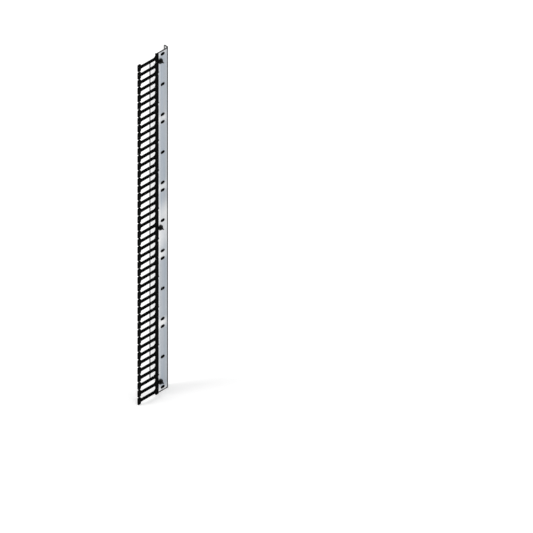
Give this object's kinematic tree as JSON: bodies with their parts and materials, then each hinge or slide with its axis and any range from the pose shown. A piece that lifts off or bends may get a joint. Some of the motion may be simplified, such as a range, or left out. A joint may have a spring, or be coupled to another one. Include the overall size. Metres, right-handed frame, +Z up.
{
  "type": "vertical cable manager",
  "caption": "Tall bent-steel rail with moulded T-headed finger combs along its front edge and captive mounting screws, for cables beside a rack post.",
  "frame": {"origin": "on the middle mounting screw's axis, in the plane of the spacers' ends, where the rack's post begins", "axes": "+X out of the rail's face towards the post, +Y back along the rack's depth so that the fingers point to -Y, +Z up along the rail"},
  "size_m": [0.074, 0.211, 2.0003],
  "materials": {
    "zinc_sheet": "zinc-plated sheet, satin, faintly blue",
    "black_moulding": "fine-textured moulded nylon",
    "black_liner": "smooth black elastomer",
    "black_rivet": "smooth moulded nylon",
    "black_spacer": "turned-looking moulded nylon",
    "zinc_fastener": "bright zinc",
    "black_screw": "black oxide",
    "retaining_nylon": "plain nylon"
  },
  "bodies": {
    "rail_assembly": {"rail": "zinc_sheet", "comb_1": "black_moulding", "comb_2": "black_moulding", "comb_3": "black_moulding", "comb_4": "black_moulding", "comb_5": "black_moulding", "slot_liners_1": "black_liner", "slot_liners_2": "black_liner", "slot_liners_3": "black_liner", "slot_liners_4": "black_liner", "slot_liners_5": "black_liner", "rivet_bodies_1": "black_rivet", "rivet_bodies_2": "black_rivet", "rivet_bodies_3": "black_rivet", "rivet_bodies_4": "black_rivet", "rivet_bodies_5": "black_rivet", "rivet_pins_1": "black_rivet", "rivet_pins_2": "black_rivet", "rivet_pins_3": "black_rivet", "rivet_pins_4": "black_rivet", "rivet_pins_5": "black_rivet", "top_spacer": "black_spacer", "middle_spacer": "black_spacer", "bottom_spacer": "black_spacer", "top_plain_washer": "zinc_fastener", "middle_plain_washer": "zinc_fastener", "bottom_plain_washer": "zinc_fastener"},
    "top_screw": {"top_mounting_screw": "black_screw", "top_retaining_washer": "retaining_nylon"},
    "middle_screw": {"middle_mounting_screw": "black_screw", "middle_retaining_washer": "retaining_nylon"},
    "bottom_screw": {"bottom_mounting_screw": "black_screw", "bottom_retaining_washer": "retaining_nylon"}
  },
  "joints": [
    {"name": "top_screw_turn", "type": "hinge", "parent": "rail_assembly", "child": "top_screw", "pos_m": [0, 0, 0.9779], "axis": [1, 0, 0], "continuous": true},
    {"name": "middle_screw_turn", "type": "hinge", "parent": "rail_assembly", "child": "middle_screw", "pos_m": [0, 0, 0], "axis": [1, 0, 0], "continuous": true},
    {"name": "bottom_screw_turn", "type": "hinge", "parent": "rail_assembly", "child": "bottom_screw", "pos_m": [0, 0, -0.90487], "axis": [1, 0, 0], "continuous": true}
  ]
}
